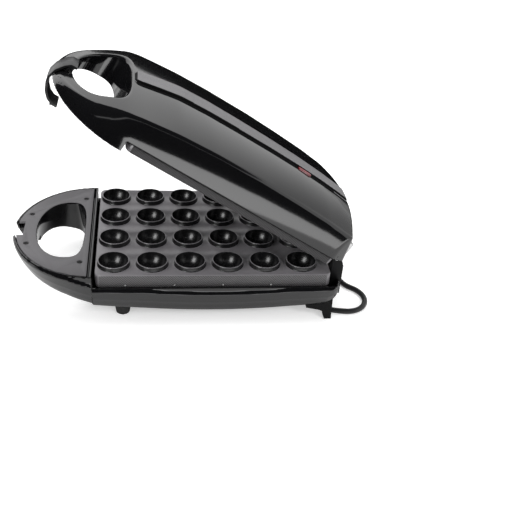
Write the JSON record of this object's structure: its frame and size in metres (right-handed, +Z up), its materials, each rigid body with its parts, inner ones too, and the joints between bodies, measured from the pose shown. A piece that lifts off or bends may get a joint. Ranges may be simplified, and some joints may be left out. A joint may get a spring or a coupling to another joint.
{
  "type": "donut maker",
  "caption": "Clamshell maker for small round donuts with two heated plates of cups, loop handles, a lid latch clip and a mains lead.",
  "frame": {"origin": "on the table, under the middle of the appliance with its lid open, without its lead", "axes": "+X to the appliance's right seen from its handles, +Y from the handles to the hinge, +Z up"},
  "size_m": [0.2943, 0.3965, 0.2553],
  "materials": {
    "housing_black": "glossy",
    "cover_grey": "satin",
    "cover_black": "satin",
    "trim_grey": "satin",
    "non_stick": "non-stick coating on cast aluminium",
    "screw_dark": "blackened",
    "steel": "plain",
    "heater": "oxidised",
    "shield_metal": "plain",
    "ceramic": "matte",
    "wire_sleeve": "woven glass sleeve",
    "foot_rubber": "matte",
    "lens_red": "clear red",
    "cord_black": "satin",
    "tie_black": "satin",
    "pin_metal": "nickel plated"
  },
  "bodies": {
    "base": {"lower_housing": "housing_black", "lower_handle_cover": "cover_grey", "lower_cover_screws": "screw_dark", "lower_plate": "non_stick", "band_pins": "steel", "lower_heating_tube": "heater", "lower_tube_clips": "steel", "lower_heat_shield": "shield_metal", "lower_shield_screws": "steel", "thermostat": "ceramic", "thermal_fuse": "ceramic", "lower_plate_screws": "steel", "terminal_block": "ceramic", "lower_wiring": "wire_sleeve", "front_feet": "foot_rubber", "rear_legs": "housing_black", "hinge_posts": "housing_black", "hinge_pins": "steel", "cord_gland": "cord_black", "power_cord": "cord_black", "cord_coil": "cord_black", "coil_tie": "tie_black", "plug_body": "cord_black", "plug_pins": "pin_metal"},
    "lid": {"upper_housing": "housing_black", "spine_trim": "trim_grey", "upper_handle_cover": "cover_black", "upper_cover_screws": "screw_dark", "upper_plate": "non_stick", "upper_heating_tube": "heater", "upper_tube_clips": "steel", "upper_heat_shield": "shield_metal", "upper_shield_screws": "steel", "upper_plate_screws": "steel", "upper_wiring": "wire_sleeve", "indicator_lens": "lens_red", "lamp_holder": "ceramic", "hinge_brackets": "steel", "latch_pin": "steel", "latch_spring": "steel"},
    "latch": {"latch_clip": "cover_black"}
  },
  "joints": [
    {"name": "lid_hinge", "type": "hinge", "parent": "base", "child": "lid", "pos_m": [0, 0.1617, 0.079], "axis": [-1, 0, 0], "range_deg": [-31.4, 63.6]},
    {"name": "latch_pivot", "type": "hinge", "parent": "lid", "child": "latch", "pos_m": [0, -0.11609, 0.24859], "axis": [-1, 0, 0], "range_deg": [0, 32], "stiffness_Nm_per_rad": 0.05}
  ]
}
